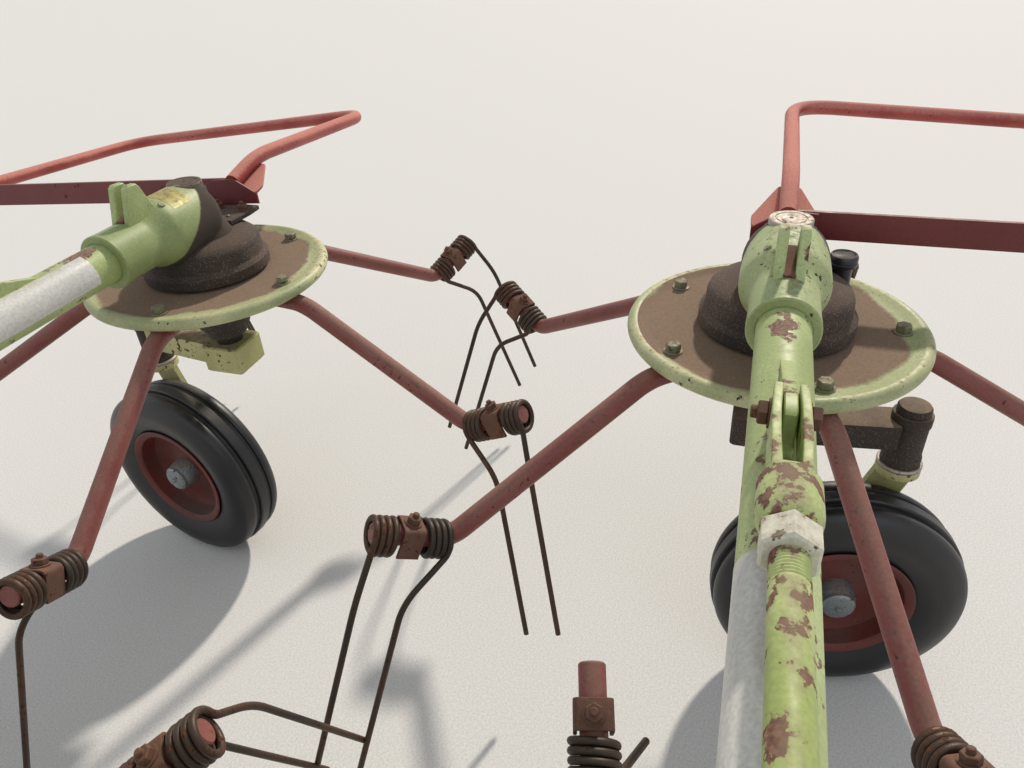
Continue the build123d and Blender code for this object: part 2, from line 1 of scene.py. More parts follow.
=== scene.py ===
# %% [markdown]
# # A parked hay tedder, dressed
# A hay tedder spreads cut grass to dry. Four rotors hang from two arms and a cross beam, each under
# a round dish, and each carries five tube arms with a pair of sprung wire tines. Here the two outer
# arms are folded back, so the camera looks from above the left inner rotor along both arm tubes.
# The CAD frame is loaded first, and every new surface is worked out in its axes: X points forward,
# Y to the machine's left, Z up, and the ground is Z = 0. Sizes are millimetres until a piece is made.

# %% Load the frame
import json

import bmesh
import bpy
import numpy as np
from mathutils import Matrix, Vector


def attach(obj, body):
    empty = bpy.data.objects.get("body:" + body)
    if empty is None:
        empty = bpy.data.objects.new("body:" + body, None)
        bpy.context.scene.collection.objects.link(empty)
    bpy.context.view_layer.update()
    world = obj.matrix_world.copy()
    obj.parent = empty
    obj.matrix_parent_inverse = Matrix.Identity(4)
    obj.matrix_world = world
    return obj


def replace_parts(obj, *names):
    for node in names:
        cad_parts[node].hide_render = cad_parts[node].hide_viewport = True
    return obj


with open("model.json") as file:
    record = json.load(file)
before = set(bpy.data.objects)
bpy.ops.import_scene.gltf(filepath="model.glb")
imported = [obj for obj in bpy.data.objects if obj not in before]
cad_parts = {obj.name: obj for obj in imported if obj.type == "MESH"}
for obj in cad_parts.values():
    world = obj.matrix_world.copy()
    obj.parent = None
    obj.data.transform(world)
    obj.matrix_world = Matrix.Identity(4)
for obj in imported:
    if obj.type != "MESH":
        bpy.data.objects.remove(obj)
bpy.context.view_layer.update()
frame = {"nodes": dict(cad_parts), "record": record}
nodes = frame["nodes"]

# %% Sizes shared by many pieces, in millimetres
ROTOR_HALF = 504  # rotor axis to the machine's centre plane
ARM_PITCH = 1155  # inner rotor axis to outer rotor axis
INNER_X = 482
OUTER_X = INNER_X - ARM_PITCH
TUBE_Z = 782  # axis of the arm tubes
SIDES = ("left", "right")
MM = 0.001
print("rotor axes at X", INNER_X, "and", OUTER_X, "mm")

# %% [markdown]
# ## Camera
# The camera stands between the folded arms, 1.23 m above the ground, and looks back and down at the
# outer rotors. A camera turned by eye fits one piece and misses the next, so the place, the tilt
# and the wide lens were fitted to the wheels, rims and tubes together.

# %% Camera
CAMERA_AT = (OUTER_X * MM + 1.0518, 0.4503, 1.2333)
LOOK = (-0.78954, -0.27661, -0.54783)
UP = (-0.53579, -0.12461, 0.83511)
FOCAL_PIXELS = 747.8
IMAGE_WIDTH = 1024
SENSOR_WIDTH = 36

camera = bpy.data.objects.new("camera", bpy.data.cameras.new("camera"))
bpy.context.scene.collection.objects.link(camera)
camera.data.sensor_width = SENSOR_WIDTH
camera.data.lens = FOCAL_PIXELS * SENSOR_WIDTH / IMAGE_WIDTH
camera.data.clip_start = 0.01
back = -Vector(LOOK)
right = Vector(UP).cross(back)
axes = Matrix((right, Vector(UP), back)).transposed().to_4x4()
camera.matrix_world = Matrix.Translation(CAMERA_AT) @ axes
bpy.context.scene.camera = camera
print("camera at", CAMERA_AT, "lens", round(camera.data.lens, 2), "mm")

# %% [markdown]
# ## Light
# The shadows on the dishes run towards the viewer, so the main sun stands behind the machine, 37
# degrees up. Area lamps could fill the near sides, but they leave bright spots on enamel. Two wide,
# weak suns and an even sky fill them plainly, and the sky is shown brighter than it shines.


# %% Colours and nodes
def linear(hex_colour):
    """an sRGB hex value as the linear red, green and blue that the shaders read"""
    raw = np.array([int(hex_colour[i:i + 2], 16) for i in (1, 3, 5)]) / 255
    low = raw / 12.92
    high = ((raw + 0.055) / 1.055) ** 2.4
    return (*np.where(raw <= 0.04045, low, high).tolist(), 1.0)


def feed(tree, node, inputs):
    """give a node its inputs: plain values, or the sockets that they come from"""
    for key, value in dict(inputs).items():
        if isinstance(value, bpy.types.NodeSocket):
            tree.links.new(value, node.inputs[key])
        else:
            node.inputs[key].default_value = value


def add(tree, kind, inputs=(), **settings):
    """one new node with its inputs; settings are the node's own"""
    made = tree.nodes.new(kind)
    for name, value in settings.items():
        setattr(made, name, value)
    feed(tree, made, inputs)
    return made


print("half grey is", round(linear("#808080")[0], 3), "of full light")

# %% Suns
MIDDLE = Vector((-0.2, 0, 0.4))
SUNS = (  # name, place, power, colour, and the angle it is seen under
    ("sun_behind", (-4.2, 0.55, 3.5), 3.0, "#fff5e6", 0.05),
    ("front_fill", (3.0, 1.6, 3.4), 0.4, "#eef3ff", 1.0),
    ("side_fill", (0.5, -4.5, 2.4), 0.25, "#f4f6ff", 1.0),
)

for name, place, power, colour, angle in SUNS:
    sun = bpy.data.objects.new(name, bpy.data.lights.new(name, "SUN"))
    bpy.context.scene.collection.objects.link(sun)
    sun.data.energy = power
    sun.data.color = linear(colour)[:3]
    sun.data.angle = angle
    sun.location = place
    sun.rotation_euler = (MIDDLE - Vector(place)).to_track_quat("-Z", "Y").to_euler()
print(len(SUNS), "suns")

# %% Sky
SKY_COLOUR = "#e9ebee"
SKY_LIGHT = 0.46  # its strength as light; straight to the camera, and in metal and glass, it is 1

world = bpy.data.worlds.new("studio")
bpy.context.scene.world = world
world.use_nodes = True
sky = world.node_tree
rays = add(sky, "ShaderNodeLightPath").outputs
shown = rays["Is Camera Ray"]
for kind in ("Is Glossy Ray", "Is Transmission Ray"):
    shown = add(sky, "ShaderNodeMath", {0: shown, 1: rays[kind]}, operation="MAXIMUM").outputs[0]
strength = add(sky, "ShaderNodeMath", {0: shown, 1: 1 - SKY_LIGHT, 2: SKY_LIGHT}, operation="MULTIPLY_ADD")
feed(sky, sky.nodes["Background"], {"Color": linear(SKY_COLOUR), "Strength": strength.outputs[0]})
bpy.context.scene.view_settings.view_transform = "Standard"
print("an even sky, its light", SKY_LIGHT)

# %% [markdown]
# ## Surfaces from arrays
# Nearly every piece of this machine is turned, drawn as tube or wire, or cut from plate or bar.
# Curves with a bevel could make the tubes and a Screw modifier the turned parts. Whole numpy arrays
# of points make all of them in the same few lines, as rows that become quads in one step. The sign
# of the volume tells which way the faces look, and turns them outwards.


# %% Rows of points
def surface(rows, loop=False):
    """closed rows of points become quads; loop joins the last row to the first, and otherwise both
    ends are capped. A negative volume flips every face."""
    rows = np.asarray(rows, float)
    n, m = rows.shape[:2]
    i = np.arange(n if loop else n - 1)[:, None]
    j = np.arange(m)[None, :]
    corners = (i * m + j, i * m + (j + 1) % m, (i + 1) % n * m + (j + 1) % m, (i + 1) % n * m + j)
    quads = np.stack(np.broadcast_arrays(*corners), -1).reshape(-1, 4)
    caps = [] if loop else [list(range(m))[::-1], list(range(n * m - m, n * m))]
    points = rows.reshape(-1, 3)
    centred = points - points.mean(0)
    a, b, c, d = (centred[quads[:, k]] for k in range(4))
    volume = (a * (np.cross(b, c) + np.cross(c, d))).sum()
    if volume < 0:
        quads = quads[:, ::-1]
        caps = [cap[::-1] for cap in caps]
    return points, quads, caps


def joined(*shapes):
    """several surfaces as one, the numbers of their points counted on"""
    points, quads, caps, count = [], [], [], 0
    for shape in shapes:
        points.append(shape[0])
        quads.append(shape[1] + count)
        caps += [[k + count for k in cap] for cap in shape[2]]
        count += len(shape[0])
    return np.concatenate(points), np.concatenate(quads), caps


print("a surface: points, quads and caps")


# %% Placing
def moved(shape, matrix):
    """a surface carried by a matrix; a mirror image has its faces turned round"""
    matrix = np.asarray(matrix, float)
    points = shape[0] @ matrix[:3, :3].T + matrix[:3, 3]
    if np.linalg.det(matrix[:3, :3]) > 0:
        return points, shape[1], shape[2]
    return points, shape[1][:, ::-1], [cap[::-1] for cap in shape[2]]


def shift(x=0, y=0, z=0):
    """the matrix of a move"""
    return np.array(Matrix.Translation((x, y, z)))


def turn(degrees, axis="Z"):
    """the matrix of a turn about an axis through the origin"""
    return np.array(Matrix.Rotation(np.radians(degrees), 4, axis))


def facing(origin, out, across=(0, 0, 1)):
    """the matrix that puts a shape's Z along out, its X as near across as it can"""
    z = Vector(out).normalized()
    x = (Vector(across) - Vector(across).dot(z) * z).normalized()
    return np.array(Matrix.Translation(origin) @ Matrix((x, z.cross(x), z)).transposed().to_4x4())


print("a quarter turn takes X to", np.round(turn(90)[:3, 0]).tolist())


# %% Outlines
def circle(radius, sides=16):
    """a circle round the origin"""
    angle = np.arange(sides) * 2 * np.pi / sides
    return radius * np.stack([np.cos(angle), np.sin(angle)], -1)


def hexagon(across_flats):
    """the outline of a nut or bolt head, measured across its flats"""
    return circle(across_flats / np.sqrt(3), 6)


def arc(x, y, radius, start, stop, steps=9):
    """points of an arc round (x, y), its angles in degrees"""
    angle = np.radians(np.linspace(start, stop, steps))
    return [(x + radius * c, y + radius * s) for c, s in zip(np.cos(angle), np.sin(angle))]


def rounded(points, radius, steps=5, closed=False):
    """every corner becomes a quadratic curve that leaves its two sides at radius from the corner"""
    points = np.asarray(points, float)
    cuts = np.broadcast_to(radius, len(points))
    t = np.linspace(0, 1, steps)[:, None]
    line = []
    for k, corner in enumerate(points):
        if not closed and k in (0, len(points) - 1) or cuts[k] == 0:
            line.append(corner[None])
            continue
        before = points[k - 1] - corner
        after = points[(k + 1) % len(points)] - corner
        reach = [np.linalg.norm(side) for side in (before, after)]
        cut = min(cuts[k], reach[0] * 0.499, reach[1] * 0.499)  # at most half of a side
        start = corner + before / reach[0] * cut
        stop = corner + after / reach[1] * cut
        line.append((1 - t) ** 2 * start + 2 * t * (1 - t) * corner + t ** 2 * stop)
    return np.concatenate(line)


def oblong(width, height, corner, steps=4):
    """a rectangle with rounded corners, round its centre"""
    w, h = width / 2, height / 2
    return rounded([(-w, -h), (w, -h), (w, h), (-w, h)], corner, steps, closed=True)


def inset(outline, distance):
    """an outline moved inwards, each point along the mean of its two sides' normals"""
    side = np.roll(outline, -1, 0) - outline
    side /= np.maximum(np.linalg.norm(side, axis=1, keepdims=True), 1e-12)
    normal = np.stack([-side[:, 1], side[:, 0]], -1)
    mean = normal + np.roll(normal, 1, 0)
    mean /= np.maximum((mean ** 2).sum(1, keepdims=True) / 2, 0.3)  # a sharp corner moves no further
    return outline + mean * distance


print("a nut 20 across its flats is", round(float(np.ptp(hexagon(20)[:, 0])), 1), "across its corners")


# %% Turned, extruded and swept
def turned(profile, steps=72, loop=False):
    """a profile of radius and height carried round Z"""
    profile = np.asarray(profile, float)
    angle = np.arange(steps) * 2 * np.pi / steps
    rows = np.stack([profile[:, :1] * np.cos(angle), profile[:, :1] * np.sin(angle),
                     np.broadcast_to(profile[:, 1:2], (len(profile), steps))], -1)
    return surface(rows, loop=loop)


def extruded(outline, low, high, chamfer=1.0):
    """an outline (drawn anticlockwise) carried up Z, its two rims bevelled"""
    outline = np.asarray(outline, float)
    small = inset(outline, chamfer)
    rows = [np.c_[line, np.full(len(line), z)] for line, z in
            ((small, low), (outline, low + chamfer), (outline, high - chamfer), (small, high))]
    return surface(rows)


def swept(path, section, up=(0, 0, 1), scale=None):
    """a section carried along a path; its second axis stays as near up as the path's direction lets it"""
    path = np.asarray(path, float)
    ahead = np.gradient(path, axis=0)
    ahead /= np.linalg.norm(ahead, axis=1, keepdims=True)
    up = np.broadcast_to(np.asarray(up, float), path.shape)
    up = up - (up * ahead).sum(1, keepdims=True) * ahead
    up /= np.linalg.norm(up, axis=1, keepdims=True)
    side = np.cross(up, ahead)
    grow = np.ones(len(path)) if scale is None else np.asarray(scale, float)
    rows = (path[:, None] + section[None, :, :1] * side[:, None] * grow[:, None, None]
            + section[None, :, 1:] * up[:, None] * grow[:, None, None])
    return surface(rows)


print("a turned cone has", len(turned([(0, 0), (9, 0), (0, 9)])[1]), "quads")

# %% Bars and bolts
WASHER_THICK = 2.2
SHANK_OUT = 6  # how far a bolt's end stands out of its nut


def bar(start, end, width, height, corner=1.5, up=(0, 0, 1)):
    """a straight bar with bevelled edges and ends"""
    start, end = np.asarray(start, float), np.asarray(end, float)
    length = np.linalg.norm(end - start)
    edge = min(corner, length / 3) / length
    path = start + (end - start) * np.array([0, edge, 1 - edge, 1])[:, None]
    shrink = 1 - 2 * corner / min(width, height)
    return swept(path, oblong(width, height, corner), up, scale=[shrink, 1, 1, shrink])


def bolt(across_flats, height, washer=0, shank=0):
    """a bolt head on its washer, its foot at Z = 0, and the end of its shank if it shows; washer and
    shank are radii"""
    base = WASHER_THICK if washer else 0
    top = base + height
    shapes = [extruded(hexagon(across_flats), base, top, across_flats * 0.06)]
    if washer:
        line = [(0, 0), (washer, 0), (washer, base), (0, base)]
        shapes.append(turned(rounded(line, (0, 0.6, 0.6, 0), 3), 28))
    if shank:
        end = top + SHANK_OUT
        line = [(0, top - 1), (shank, top - 1), (shank, end - 1), (shank - 1.2, end), (0, end)]
        shapes.append(turned(line, 20))
    return joined(*shapes)


print("an M12 bolt head has", len(bolt(18, 8)[0]), "points")

# %% [markdown]
# ## Pieces
# A piece is one object that rides on one body of the machine, so that it moves when the joint does.
# It could be built from many small objects. Here all that shares a body and a finish is one mesh,
# which keeps the list short. Points that coincide are merged, and only sharp edges stay crisp.

# %% Making a piece
MERGE_AT, SLIVER_AT = 2e-6, 1e-6  # metres: closer points become one, shorter edges go


def piece(name, shape, body, material, sharp=32, wear=None):
    """an object that rides on a CAD body, made in metres from a surface in millimetres; sharp is the
    angle above which an edge stays crisp, wear a number for each point"""
    mesh = bpy.data.meshes.new(name)
    mesh.from_pydata((shape[0] * MM).tolist(), [], shape[1].tolist() + shape[2])
    if wear is not None:
        mesh.attributes.new("wear", "FLOAT", "POINT").data.foreach_set("value", np.asarray(wear, np.float32))
    work = bmesh.new()
    work.from_mesh(mesh)
    bmesh.ops.remove_doubles(work, verts=work.verts, dist=MERGE_AT)
    bmesh.ops.dissolve_degenerate(work, edges=work.edges, dist=SLIVER_AT)
    work.to_mesh(mesh)
    work.free()
    mesh.shade_smooth()
    mesh.set_sharp_from_angle(angle=np.radians(sharp))
    mesh.materials.append(material)
    made = bpy.data.objects.new(name, mesh)
    bpy.context.scene.collection.objects.link(made)
    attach(made, body)
    return made


print("points within", MERGE_AT * 1e6, "micrometres become one")

# %% [markdown]
# ## Finishes
# Almost everything here has stood outdoors, so one recipe makes nearly every finish: a coat that
# has faded in broad patches, small chips with two browns of rust in them, and dust that settles on
# what looks up. On the guards that top colour also holds a painted highlight, and the castings' dried
# dirt holds painted shade. Painted images could show the same, but noises in the piece's own axes fit
# any shape. Only the shares and colours change from one finish to the next.


# %% Steps of the recipe
def noise(tree, where, scale, detail, roughness=0.5):
    """a noise that is fixed to the piece, its scale in waves to the metre"""
    inputs = {"Vector": where, "Scale": scale, "Detail": detail, "Roughness": roughness}
    return add(tree, "ShaderNodeTexNoise", inputs).outputs["Fac"]


def ramp(tree, value, low, high, bottom=0.0, top=1.0):
    """value's way from low to high as a way from bottom to top, level beyond both ends"""
    inputs = {"Value": value, "From Min": low, "From Max": high, "To Min": bottom, "To Max": top}
    return add(tree, "ShaderNodeMapRange", inputs).outputs[0]


def mixed(tree, share, under, over):
    """one colour laid over another, by a share from 0 to 1"""
    return add(tree, "ShaderNodeMix", {0: share, 6: under, 7: over}, data_type="RGBA").outputs[2]


def shaded(tree, colour, factor):
    """a colour times a factor"""
    return add(tree, "ShaderNodeVectorMath", {0: colour, "Scale": factor}, operation="SCALE").outputs[0]


def total(tree, base, *terms):
    """base plus each value times its factor; a factor of 0 leaves its value out"""
    for value, factor in terms:
        if factor:
            inputs = {0: value, 1: factor, 2: base}
            base = add(tree, "ShaderNodeMath", inputs, operation="MULTIPLY_ADD").outputs[0]
    return base


print("steps: noise, ramp, mixed, shaded, total")

# %% The weathered recipe
FADE_SCALE, CHIP_SCALE, GRAIN_SCALE, CRUMB_SCALE = 7, 38, 260, 420  # of its noises
CHIP_EDGE = 0.025  # of the chips' noise, from coat to rust
RUST_ROUGH, DUST_ROUGH = 0.85, 0.95
SOIL_AND_SHADE_EDGE = (-12, 14)  # millimetres round its distance where the dried dirt and painted shade begin and are full
BUMP_HEIGHT = 0.0006  # metres
CRUMB_COLOUR = "#77665a"
finishes = []


def weathered(name, coat, faded, rough=0.5, metal=0.0, rust=("#6d4330", "#38201a"), chips=0.0,
              dust_and_painted_light="#8b7a66", dust_and_highlight_share=0.0, soil_and_shade=None, specks=1.0, worn=(0.0, 0.0), crumbs=0.0):
    """a coat that fades in patches, chipped to rust and dusted on top. chips, dusty and crumbs are
    shares from 0 to 1, specks the chips' fineness, and worn what the points' wear adds to chips and to
    dust. The colour laid on top is settled dirt, and on the guards a painted highlight too. soil is a
    distance and a lean: dried dirt and painted shade cover what lies behind -X - lean Z = distance"""
    made = bpy.data.materials.new(name)
    finishes.append(made)
    made.use_nodes = True
    tree = made.node_tree
    where = add(tree, "ShaderNodeTexCoord").outputs["Object"]
    normal = add(tree, "ShaderNodeNewGeometry").outputs["Normal"]
    up = add(tree, "ShaderNodeSeparateXYZ", {"Vector": normal}).outputs["Z"]
    wear = add(tree, "ShaderNodeAttribute", attribute_name="wear").outputs["Fac"] if any(worn) else None
    broad = noise(tree, where, FADE_SCALE, 3)
    patch = noise(tree, where, CHIP_SCALE * specks, 7, 0.62)
    grain = noise(tree, where, GRAIN_SCALE, 4)

    mottle = ramp(tree, grain, 0.3, 0.7, 0.86, 1.1)
    colour = mixed(tree, ramp(tree, broad, 0.38, 0.62), linear(coat), linear(faded))
    colour = shaded(tree, colour, mottle)
    relief, roughness = 0.0, rough

    if chips:
        start = 0.92 - 0.3 * chips  # noise above this is chipped off
        height = total(tree, patch, (up, 0.03), (broad, 0.35), (wear, worn[0]))
        chip = ramp(tree, height, start, start + CHIP_EDGE)
        brown = mixed(tree, ramp(tree, grain, 0.4, 0.6), linear(rust[0]), linear(rust[1]))
        colour = mixed(tree, chip, colour, brown)
        relief = total(tree, 0.0, (chip, -1.0))
        roughness = ramp(tree, chip, 0, 1, rough, RUST_ROUGH)

    if dust_and_highlight_share or soil_and_shade:
        lie = total(tree, 0.9 * dust_and_highlight_share - 1.1, (up, 0.6), (broad, 0.5), (patch, 0.5), (wear, worn[1]))
        # dried dirt and painted shade over what lies behind a sloping plane, more of it lower down
        if soil_and_shade:
            distance, lean = soil_and_shade
            behind = add(tree, "ShaderNodeVectorMath", {0: where, 1: (-1, 0, -lean)}, operation="DOT_PRODUCT")
            first, full = ((distance + edge) * MM for edge in SOIL_AND_SHADE_EDGE)
            lie = total(tree, lie, (ramp(tree, behind.outputs["Value"], first, full, 0, 1.5), 1.0))
        cover = ramp(tree, lie, 0.0, 0.3)
        colour = mixed(tree, cover, colour, shaded(tree, linear(dust_and_painted_light)[:3], mottle))
        roughness = ramp(tree, cover, 0, 1, roughness, DUST_ROUGH)

    relief = total(tree, relief, (grain, 0.5))
    if crumbs:
        bits = total(tree, noise(tree, where, CRUMB_SCALE, 3), (broad, 0.3))
        crumb = ramp(tree, bits, 0.76 - 0.2 * crumbs, 0.88 - 0.2 * crumbs)
        colour = mixed(tree, crumb, colour, linear(CRUMB_COLOUR))
        relief = total(tree, relief, (crumb, 1.5))
    inputs = {"Height": relief, "Strength": 0.35 + 0.4 * crumbs, "Distance": BUMP_HEIGHT}
    bump = add(tree, "ShaderNodeBump", inputs).outputs["Normal"]
    feed(tree, tree.nodes["Principled BSDF"],
         {"Base Color": colour, "Normal": bump, "Roughness": roughness, "Metallic": metal})
    return made


print("chips lie", CHIP_SCALE, "and grain", GRAIN_SCALE, "to the metre")

# %% [markdown]
# ## The finishes of this machine
# Each finish has the name of what the real surface is; where one also holds painted shade or a
# painted highlight, its comment says so. Neighbouring pieces of one colour could share one material,
# but enamel wears by where it sits, so the rims, the castings and the limiters each have a green of
# their own.

# %% Greens
# Light green enamel, sun-bleached, with brown scabs of rust
green = weathered("green_enamel", "#9baa6b", "#b7c58c", chips=0.34, rust=("#8d7062", "#5f4136"),
                  dust_and_highlight_share=0.1, specks=1.5, worn=(0.3, 0.0))
# The same with long brown rust marks, on the limiters
green_rusty = weathered("green_enamel_rusted", "#9fae66", "#b9c584", rough=0.45, chips=0.62,
                        rust=("#8a6553", "#66463a"), dust_and_highlight_share=0.15, specks=1.3)
# Greyer green on the castings, finely pitted; dried dirt with painted shade in it covers the half away from
# the arm
casting_green = weathered("green_casting", "#8b9a63", "#a6b17e", chips=0.2,
                          rust=("#4d3d2f", "#2b211b"), dust_and_painted_light="#453b33", dust_and_highlight_share=0.04, specks=3,
                          soil_and_shade=(-OUTER_X - 1044, 1.25))
# Creamy green on the rolled rims, speckled dark where grass has rubbed
rim_green = weathered("green_rim", "#9ba476", "#c6c699", chips=0.36, rust=("#4b4436", "#2c2620"),
                      dust_and_painted_light="#bdb18c", dust_and_highlight_share=0.1, specks=2.6)
# Brown dust over green on the dish floors, dry and matte, thin towards the rim
floor_dust = weathered("dusty_floor", "#9aa472", "#b6b98c", rough=0.7, chips=0.15, dust_and_painted_light="#846f5c", dust_and_highlight_share=0.5,
                       specks=2, worn=(0.0, 1.0), crumbs=0.05)
# Chalky pale green on forks and levers
pale_green = weathered("pale_green_enamel", "#aaa970", "#c9c58e", rough=0.6, chips=0.42,
                       rust=("#66503a", "#3c2d22"), dust_and_highlight_share=0.2, specks=2)
print(len(finishes), "finishes so far")

# %% Reds
# Brick-red enamel of the tine arms, dull pink where it has bleached
arm_red = weathered("brick_red_enamel", "#7c3d36", "#8a5049", rough=0.45, chips=0.4,
                    rust=("#5a3a30", "#3a2622"), dust_and_highlight_share=0.3, dust_and_painted_light="#8e6c60", specks=2.5)
# Brighter red enamel of the guards; the pale pink on what looks up is bleaching and a painted highlight
guard_red = weathered("guard_red_enamel", "#99362f", "#b2534a", rough=0.4, chips=0.3,
                      rust=("#5f3a30", "#3a2320"), dust_and_highlight_share=0.5, dust_and_painted_light="#c98578", specks=2.5)
# Dull dark red of the flat guard bars and their lip: the guards' red darkened as painted shade, with old dark
# stains
bar_red_painted_shade = weathered("guard_red_in_painted_shade", "#642326", "#702d2c", chips=0.3, rust=("#3f2422", "#2c1a1a"),
                    dust_and_highlight_share=0.1, specks=0.8)
# Dark red wheel discs under dust
wheel_red = weathered("wheel_red_enamel", "#6b2a22", "#54271f", rough=0.6, chips=0.4,
                      rust=("#7e4632", "#3f231b"), dust_and_highlight_share=0.2, dust_and_painted_light="#5f4e45", specks=2)
print(len(finishes), "finishes so far")

# %% Iron, steel and zinc
# Rust-brown spring wire, rubbed dark
spring = weathered("rusty_spring_wire", "#33291f", "#4b3526", metal=0.35, chips=0.5,
                   rust=("#6a4027", "#3a2418"), specks=3)
# Rusted nuts, bolts and clamps
rusty_iron = weathered("rusty_iron", "#5c4034", "#74523f", rough=0.7, metal=0.2, chips=0.55,
                       rust=("#7d4c33", "#3a2219"), dust_and_highlight_share=0.25, dust_and_painted_light="#7a5a4a", specks=2.5)
# Dirty cast iron of columns and sleeves; on the left levers the same finish is dirt and painted shade over
# pale green
dark_iron = weathered("dirty_cast_iron", "#2b241f", "#3c3129", rough=0.75, chips=0.4,
                      rust=("#4d372a", "#241a16"), dust_and_highlight_share=0.25, crumbs=0.1)
# Greyish green on the bolts of the dishes, worn to metal
bolt_grey = weathered("grey_green_bolt", "#77785f", "#94937c", metal=0.2, chips=0.5,
                      rust=("#3d352c", "#241f1a"), dust_and_highlight_share=0.2, specks=3)
# Grey, weathered steel of caps and pins
dull_steel = weathered("dull_steel", "#a39a90", "#b8aea4", metal=0.3, chips=0.35,
                       rust=("#5c5048", "#3a322c"), dust_and_highlight_share=0.1, specks=3)
# The same under brown dirt
dirty_steel = weathered("dirty_steel", "#5f554d", "#766a60", rough=0.6, metal=0.2, chips=0.4,
                        rust=("#40372f", "#2a241f"), dust_and_highlight_share=0.3, dust_and_painted_light="#5a4d43", specks=3)
# Cold grey zinc of the hub caps
zinc = weathered("zinc_plate", "#6c7477", "#858b8c", rough=0.4, metal=0.6, chips=0.35,
                 rust=("#57483c", "#35291f"), dust_and_highlight_share=0.15, specks=3)
# Whitish zinc of the lock nuts
pale_zinc = weathered("pale_zinc_plate", "#c9c7b5", "#dbd9c8", rough=0.45, chips=0.25,
                      rust=("#8c8468", "#5f553f"), dust_and_highlight_share=0.1, specks=2)
print(len(finishes), "finishes so far")

# %% Dirt, rubber, vinyl and the floor's paint
# Crumbs of dried grease and soil on the domes, nearly black in the shade; on the guard bases it is dirt and
# painted shade
dome_dirt = weathered("greasy_dome", "#2f2925", "#4a3f37", rough=0.85, chips=0.2, rust=("#4a3a30", "#241d1a"),
                      dust_and_painted_light="#57493f", dust_and_highlight_share=0.36, specks=2, crumbs=0.3)
# Black grease on the filler caps
black_grease = weathered("black_grease", "#17171a", "#26242a", rough=0.35, dust_and_painted_light="#4a423c", dust_and_highlight_share=0.2)
# Black ribbed rubber, greyed with dust
rubber = weathered("ribbed_rubber", "#101012", "#1d1d1f", rough=0.42, dust_and_painted_light="#5c554d", dust_and_highlight_share=0.07)
# White vinyl bands, left blank, a little grimy
vinyl = weathered("white_vinyl", "#dcdbd6", "#cfcfcb", rough=0.35, dust_and_painted_light="#a8a08e", dust_and_highlight_share=0.1)
# Yellowed label patch on a casting
label = weathered("yellowed_label", "#c0b552", "#d2c86c", rough=0.45, chips=0.3, rust=("#7f7440", "#4c4428"),
                  dust_and_painted_light="#8b7a5a", dust_and_highlight_share=0.2, specks=3)
# Plain pale studio floor
floor_paint = weathered("pale_floor", "#dededc", "#dededc", rough=0.9)
print(len(finishes), "finishes")

# %% Floor
FLOOR_SIZE = 60  # metres
bpy.ops.mesh.primitive_plane_add(size=FLOOR_SIZE)
floor = bpy.context.object
floor.name = "floor"
floor.data.materials.append(floor_paint)
print("a floor of", FLOOR_SIZE, "m")

# %% [markdown]
# ## Dishes
# A dish is a pressed disc with a tube rolled round its edge, and it keeps the hay off the gears. One
# turned profile could draw both. The floor and the roll are two pieces here, because dust lies on
# the floor alone. Its rows stand closer where that dust thins out, so that its edge can waver.

# %% Dish floor and roll
FLOOR_Z = 675  # top of the floor
FLOOR_RADII = (40, 100, 140, 150, 158, 166, 172, 178, 184, 189)
FLOOR_RIM = [(196, 677.4), (203, 679.2), (205, 677), (197, 672.6), (190, 671), (40, 671)]
RIM_Z = 669  # middle of the roll
ROLL_AT, ROLL_R = 207, 11
DUST_EDGE, DUST_FADE = 187, 24  # radius to which dust lies thick, and how wide it thins out
DISH_STEPS = 144

floor_disc = turned([(r, FLOOR_Z) for r in FLOOR_RADII] + FLOOR_RIM, DISH_STEPS, loop=True)
roll = turned(arc(ROLL_AT, RIM_Z, ROLL_R, 0, 345, 24), DISH_STEPS, loop=True)
x, y = floor_disc[0][:, :2].T
bearing = np.arctan2(y, x)
bare = DUST_EDGE - 14 * np.sin(bearing) + 5 * np.sin(5 * bearing + 2) + 3 * np.sin(11 * bearing)
dusted = -np.clip((np.hypot(x, y) - bare) / DUST_FADE, 0, 1)  # rain clears the side that faces left first
print("dish", 2 * (ROLL_AT + ROLL_R), "mm across")

# %% [markdown]
# ## Arms and tines
# Five bent tubes are bolted under each dish. A plate folded over the end of each tube clamps a
# double tine: one wire that winds nearly four turns round the tube on each side, drops, bends
# outwards and sideways, and reaches the ground. Rings could stand for the coils, but only a true
# helix runs on into its leg. Neighbouring rotors lean their tines opposite ways.

# %% Arms and clamps
ARM_R = 15.5
ARM_Z = 640
ARM_RUN = (100, 214)  # the level part, from under the dish to the first bend
KINK = np.array((535.0, 0.0, 459.0))  # the outer bend
END_SLOPE = 26  # rise of the arm's end piece, degrees
END_LENGTH = 120
SHOE = (46, 31, 3)  # the shoe under the dish: width, height and corner
SHOE_RUN = (84, 190)
CLAMP_AT = 65  # middle of the clamp along the end piece
CLAMP_HALF, CLAMP_FOOT, CLAMP_TOP = 20, -25, 19  # half its width, and its lower and upper ends
CLAMP_PLATE = (4.5, 33, 1.2)  # thickness, length and corner

slope = np.radians(END_SLOPE)
OUT = np.array((np.cos(slope), 0, np.sin(slope)))
ABOVE = np.array((-np.sin(slope), 0, np.cos(slope)))
END = np.eye(4)  # local sideways, up and out along the end piece, from the kink
END[:3, :3] = np.stack([(0, 1, 0), ABOVE, OUT], -1)
END[:3, 3] = KINK

